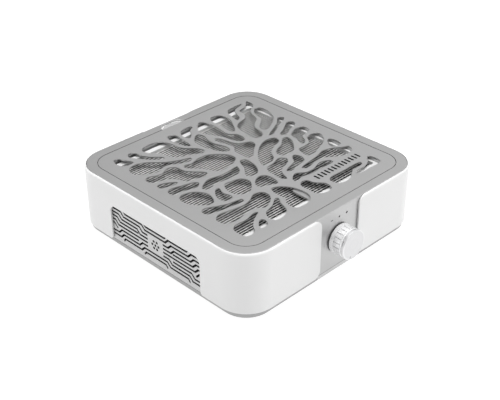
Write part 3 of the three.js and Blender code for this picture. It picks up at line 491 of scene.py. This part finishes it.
def make_media():
    """Pleats that run along X, with crests narrower than their valleys."""
    low, high = (Vector(c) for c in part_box("filter_media"))
    pitch = 3.25 * MM
    depth = PLEAT_DEPTH
    steps = 8
    count = int((high.y - low.y) / pitch)
    start = (low.y + high.y) / 2 - count * pitch / 2
    section = []
    for i in range(count * steps + 1):
        phase = 2 * math.pi * i / steps
        fold = (0.5 + 0.5 * math.cos(phase)) ** 1.6
        section.append((start + pitch * i / steps, high.z - depth * (1 - fold)))
    section = [(low.y, low.z), (low.y, high.z - depth * 0.5)] + section
    section += [(high.y, high.z - depth * 0.5), (high.y, low.z)]
    rings = [[Vector((x, y, z)) for y, z in section] for x in (low.x, high.x)]
    verts, faces = grid(rings)
    made = piece("pleated_media", verts, faces, "cartridge", "filter_paper", smooth=50)
    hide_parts("filter_media")


def make_mesh():
    """Two layers of parallel wires, leaning opposite ways, within the CAD mesh's slab."""
    low, high = (Vector(c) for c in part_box("filter_mesh"))
    pitch = 4.6 * MM
    radius = 0.11 * MM
    middle = (low + high) / 2
    half_x, half_y = (high.x - low.x) / 2 - radius, (high.y - low.y) / 2 - radius
    lean = math.tan(math.radians(35))
    verts, faces = [], []
    reach = half_x * lean + half_y
    rows = int(reach / pitch)
    for side, level in ((1, radius * 0.7), (-1, -radius * 0.7)):
        for k in range(-rows, rows + 1):
            shift = k * pitch
            ends = []
            for x in (-half_x, half_x):
                y = side * lean * x + shift
                if abs(y) > half_y:
                    y = math.copysign(half_y, y)
                    x = (y - shift) / (side * lean)
                ends.append((x, y))
            (x0, y0), (x1, y1) = ends
            run = Vector((x1 - x0, y1 - y0, 0))
            if run.length < 2 * MM or abs(x0) > half_x or abs(x1) > half_x:
                continue
            across = Vector((-run.y, run.x, 0)).normalized() * radius
            lift = Vector((0, 0, radius))
            base = len(verts)
            for x, y in ends:
                centre = Vector((middle.x + x, middle.y + y, middle.z + level))
                verts += [centre + across, centre + lift, centre - across, centre - lift]
            for i in range(4):
                j = (i + 1) % 4
                faces.append((base + i, base + j, base + 4 + j, base + 4 + i))
            faces.append((base + 3, base + 2, base + 1, base))
            faces.append((base + 4, base + 5, base + 6, base + 7))
    made = piece("wire_mesh", verts, faces, "cartridge", "mesh", smooth=60)
    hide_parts("filter_mesh")


# ---------------------------------------------------------------- knob and marks

POINTER = math.radians(200)  # clockwise from the top, seen from the front


def on_panel(radius, angle, out):
    """A point at that clock angle and distance (in mm) from the knob's axis, out mm in front of the wall."""
    return Vector(
        (
            KNOB_AXIS.x + radius * MM * math.sin(angle),
            PANEL_Y - out * MM,
            KNOB_AXIS.z + radius * MM * math.cos(angle),
        )
    )


def make_knob():
    """The turned knob with its fine grooves, which get painted shade, and a dark ring behind it: painted
    shade that stands in for the shade in the gap at the wall.
    """
    grooves = 20
    sides_apart = 16  # sides of the knob from one groove to the next
    sides = grooves * sides_apart
    # mm in front of the wall, radius in mm, depth of a groove in mm
    profile = [
        (16.9, 0, 0), (16.9, 3.3, 0), (8, 3.3, 0), (8, 9, 0), (1, 9, 0), (1, 14.9, 0), (1.35, 15.3, 0),
        (1.4, 15.7, 0), (1.55, 15.88, 0), (5.6, 15.88, 0), (5.75, 15.65, 0), (5.95, 15.65, 0),
        (6.1, 15.82, 0.25), (14, 15.82, 0.25), (14.2, 15.7, 0), (14.4, 15.7, 0), (14.6, 15.88, 0),
        (15.1, 15.88, 0), (15.25, 15.83, 0), (15.4, 15.6, 0), (15.9, 15.6, 0), (16.05, 15.8, 0),
        (16.25, 15.96, 0), (16.5, 16, 0), (17.1, 16, 0), (17.65, 16, 0), (19.2, 16, 0), (19.6, 15.9, 0),
        (19.85, 15.68, 0),
        (20, 15.35, 0), (20, 15.05, 0), (19.88, 14.9, 0), (19.88, 8, 0), (19.88, 0, 0),
    ]
    rings = []
    for out, radius, depth in profile:
        ring = []
        for i in range(sides):
            angle = 2 * math.pi * i / sides
            cut = depth if i % sides_apart == 0 else 0
            ring.append(on_panel(max(radius, 0.01) - cut, angle, out))
        rings.append(ring)
    verts, faces = grid(rings)
    made = piece("turned_knob", verts, faces, "knob", "aluminium", smooth=24)
    for paint in (KNOB_FACE, KNOB_RIM, KNOB_GROOVE_SHADE, SHADOW):
        made.data.materials.append(paint)
    in_face, in_rim, in_groove_shade, in_shadow = 1, 2, 3, 4
    # painted shade: two dark arcs on the knob's side just behind the front rim
    dark_arcs = ((286, 306), (8, 36))  # degrees clockwise from the top, seen from the front
    for face in made.data.polygons:
        across = face.center.x - KNOB_AXIS.x
        rise = face.center.z - KNOB_AXIS.z
        out = (PANEL_Y - face.center.y) / MM
        reach = math.hypot(across, rise) / MM
        turn = math.degrees(math.atan2(across, rise)) % 360
        if 17.1 < out < 17.65 and any(start < turn < end for start, end in dark_arcs):
            face.material_index = in_shadow
        elif out > 19.8 and reach < 14.95:
            face.material_index = in_face
        elif out > 15.9 and reach > 14.9:
            face.material_index = in_rim
        # painted shade in the grooves and the narrow step where the grooved band starts
        elif (5.7 < out < 14.1 and reach < 15.78) or 5.7 < out < 6:
            face.material_index = in_groove_shade
    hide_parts("speed_knob")
    # painted shade: a dark ring between the knob and the wall, where there is only a shaded gap
    painted_shade_ring_sides = 96
    painted_shade_ring = ((0.5, 9.2), (0.5, 15.2), (0.65, 15.4), (1.1, 15.4), (1.25, 15.2), (1.25, 9.2))
    rings = [
        [on_panel(radius, 2 * math.pi * i / painted_shade_ring_sides, out) for i in range(painted_shade_ring_sides)]
        for out, radius in painted_shade_ring
    ]
    verts, faces = grid(rings, closed_rings=True)
    piece("knob_painted_shade_ring", verts, faces, "knob", "dark_plastic")


def flat_shape(name, outline, back, front, body, slot, material=None):
    """A thin upright plate from back to front, in mm out of the front wall; outline is (across, up) in mm."""
    rings = [
        [Vector((x * MM, PANEL_Y - out * MM, z * MM)) for x, z in outline] for out in (back, front)
    ]
    verts, faces = grid(rings)
    return piece(name, verts, faces, body, slot, material)


def capsule(x, z, half, thick, turn=0.0):
    """Outline of a bar about (x, z) with round ends: half its length, half its width, and its lean."""
    steps = 6
    points = []
    for side in (1, -1):
        for i in range(steps + 1):
            a = math.pi * i / steps - math.pi / 2
            px, pz = side * (half - thick + thick * math.cos(a)), side * thick * math.sin(a)
            points.append((px, pz))
    c, s = math.cos(turn), math.sin(turn)
    return [(x + px * c - pz * s, z + px * s + pz * c) for px, pz in points]


def plus_sign(x, z, arm, half):
    """Outline of a plus about (x, z): the corner between two arms, turned a quarter at a time."""
    corner = [(arm, half), (half, half), (half, arm)]
    points = []
    for _ in range(4):
        points += corner
        corner = [(-pz, px) for px, pz in corner]
    return [(x + px, z + pz) for px, pz in points]


def make_marks():
    """The minus and plus on the front wall, and the pointer on the knob's face."""
    height, spread = 65.6, 11
    back, front = -0.55, -0.08  # a little below the wall's face
    minus = capsule(-spread, height, 1.5, 0.5)
    plus = plus_sign(spread, height, 1.455, 0.291)
    flat_shape("minus_mark", minus, back, front, "body", "dark_plastic")
    flat_shape("plus_mark", plus, back, front, "body", "dark_plastic")
    reach = 13.4
    x = reach * math.sin(POINTER)
    z = KNOB_AXIS.z / MM + reach * math.cos(POINTER)
    pointer = capsule(x, z, 1.3, 0.42, math.pi / 2 - POINTER)
    flat_shape("pointer_mark", pointer, 19.7, 19.93, "knob", "dark_plastic", KNOB_MARK)


# ---------------------------------------------------------------- floor, light and world


def make_stage():
    """A grey floor with a white glow, a sky that is brighter overhead, and three large lights."""
    bm = bmesh.new()
    bmesh.ops.create_grid(bm, x_segments=2, y_segments=2, size=9)
    mesh = bpy.data.meshes.new("floor")
    bm.to_mesh(mesh)
    bm.free()
    floor = bpy.data.objects.new("floor", mesh)
    scene.collection.objects.link(floor)
    b = Build("floor")
    b.set(Base_Color=b.ramp(b.noise(3, 2), (0.21, 0.21, 0.21), (0.23, 0.23, 0.23)), Roughness=0.9)
    b.set(Emission_Color=(1, 1, 1, 1), Emission_Strength=0.88)
    mesh.materials.append(b.material)

    world = bpy.data.worlds.new("world")
    world.use_nodes = True
    sky = world.node_tree.nodes["Background"]
    tree = world.node_tree
    ray = tree.nodes.new("ShaderNodeTexCoord").outputs["Generated"]
    slope = tree.nodes.new("ShaderNodeVectorMath")
    slope.operation = "DOT_PRODUCT"
    slope.inputs[1].default_value = (0.3, -0.3, 1)
    tree.links.new(ray, slope.inputs[0])
    fade = tree.nodes.new("ShaderNodeValToRGB")  # dim near the horizon, brighter overhead
    for stop, (position, tone) in zip(fade.color_ramp.elements, ((0.38, 0.38), (0.8, 1.05))):
        stop.position = position
        stop.color = (tone, tone, tone, 1)
    tree.links.new(slope.outputs["Value"], fade.inputs["Fac"])
    tree.links.new(fade.outputs["Color"], sky.inputs["Color"])
    sky.inputs["Strength"].default_value = 1.0
    scene.world = world

    def panel(name, where, size, power, shiny=False):
        light = bpy.data.lights.new(name, "AREA")
        light.shape = "SQUARE"
        light.size = size
        light.energy = power
        holder = bpy.data.objects.new(name, light)
        holder.location = where
        holder.rotation_euler = (Vector((0, 0, 0.05)) - Vector(where)).to_track_quat("-Z", "Y").to_euler()
        holder.visible_glossy = shiny
        scene.collection.objects.link(holder)

    panel("left_box", (-1.9, 1.4, 1.1), 1.3, 12, shiny=True)
    panel("right_box", (1.5, -2.2, 0.9), 1.3, 9)
    panel("top_box", (0, 0, 2.3), 1.4, 46)
    scene.view_settings.view_transform = "Standard"
    scene.view_settings.look = "None"


make_lid()
make_media()
make_mesh()
make_knob()
make_marks()
make_stage()
